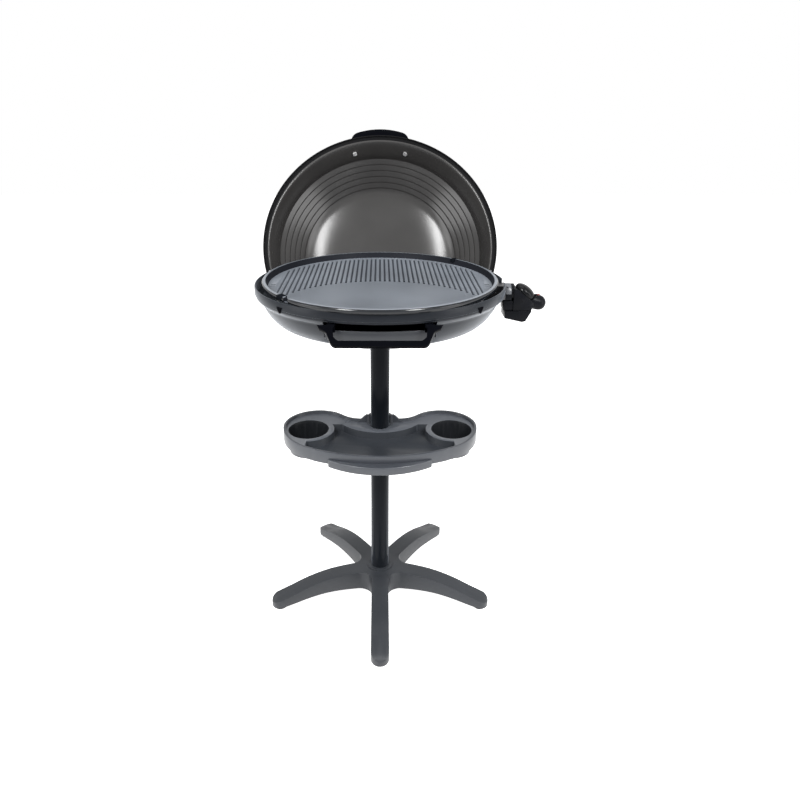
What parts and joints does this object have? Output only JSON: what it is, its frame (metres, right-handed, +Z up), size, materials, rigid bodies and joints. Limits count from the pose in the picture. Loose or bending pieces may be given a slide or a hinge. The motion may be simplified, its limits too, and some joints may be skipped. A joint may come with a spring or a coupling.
{
  "type": "electric grill",
  "caption": "Electric grill on a pedestal: oval bowl, round ribbed plate, domed lid on side arms, slide-out drip tray, plug-in controller and a shelf with cup wells.",
  "frame": {"origin": "on the floor, on the pole's axis", "axes": "+Z up along the pole, -Y towards the user, +X towards the controller"},
  "size_m": [0.6665, 0.7164, 1.1349],
  "materials": {
    "base_black": "satin",
    "foot_rubber": "matte",
    "pole_paint": "satin",
    "zinc_steel": "satin",
    "shelf_plastic": "satin",
    "bowl_plastic": "satin",
    "black_plastic": "gloss",
    "plate_coating": "satin non-stick coating",
    "element_sheath": "dark oxide",
    "bright_steel": "polished",
    "lid_metal": "satin",
    "chrome": "polished",
    "lamp_red": "gloss"
  },
  "bodies": {
    "stand": {"base_star": "base_black", "foot_pads": "foot_rubber", "pole_plug": "zinc_steel", "hub_washer": "zinc_steel", "hub_bolt": "zinc_steel", "lower_pole": "pole_paint", "pole_connector": "zinc_steel", "upper_pole": "pole_paint", "shelf_collar": "black_plastic", "shelf_tray": "shelf_plastic", "shelf_front_grip": "shelf_plastic"},
    "head": {"bowl": "bowl_plastic", "pole_socket": "black_plastic", "socket_screws": "zinc_steel", "tray_rails": "zinc_steel", "reflector_posts": "zinc_steel", "heat_reflector": "bright_steel", "reflector_screws": "zinc_steel", "hinge_pin_left": "zinc_steel", "hinge_pin_right": "zinc_steel", "rim_clips": "black_plastic"},
    "drip": {"drip_tray": "plate_coating", "drip_tray_handle": "black_plastic"},
    "plate": {"grill_plate": "plate_coating", "heating_element": "element_sheath", "terminal_pins": "bright_steel", "terminal_shroud": "bright_steel"},
    "controller": {"controller_housing": "black_plastic", "controller_box": "black_plastic", "controller_probe": "bright_steel", "indicator_lamp": "lamp_red", "cord_inlet": "foot_rubber"},
    "knob": {"control_knob": "black_plastic"},
    "lid": {"lid_shell": "lid_metal", "lid_handle": "black_plastic", "lid_handle_screws": "chrome", "hinge_arm_left": "zinc_steel", "hinge_arm_right": "zinc_steel", "hinge_rivets": "zinc_steel"}
  },
  "joints": [
    {"name": "head_lift_off", "type": "slide", "parent": "stand", "child": "head", "axis": [0, 0, 1], "range_m": [0, 0.09]},
    {"name": "drip_tray_slide", "type": "slide", "parent": "head", "child": "drip", "axis": [0, -1, 0], "range_m": [0, 0.24]},
    {"name": "plate_lift_off", "type": "slide", "parent": "head", "child": "plate", "axis": [0, 0, 1], "range_m": [0, 0.12]},
    {"name": "controller_pull", "type": "slide", "parent": "plate", "child": "controller", "axis": [1, 0, 0], "range_m": [0, 0.09]},
    {"name": "temperature_knob_turn", "type": "hinge", "parent": "controller", "child": "knob", "pos_m": [0.323, 0, 0.799], "axis": [0.6157, 0, 0.788], "range_deg": [0, 270]},
    {"name": "lid_hinge", "type": "hinge", "parent": "head", "child": "lid", "pos_m": [0, 0.124, 0.79], "axis": [-1, 0, 0], "range_deg": [-121, 0]}
  ]
}
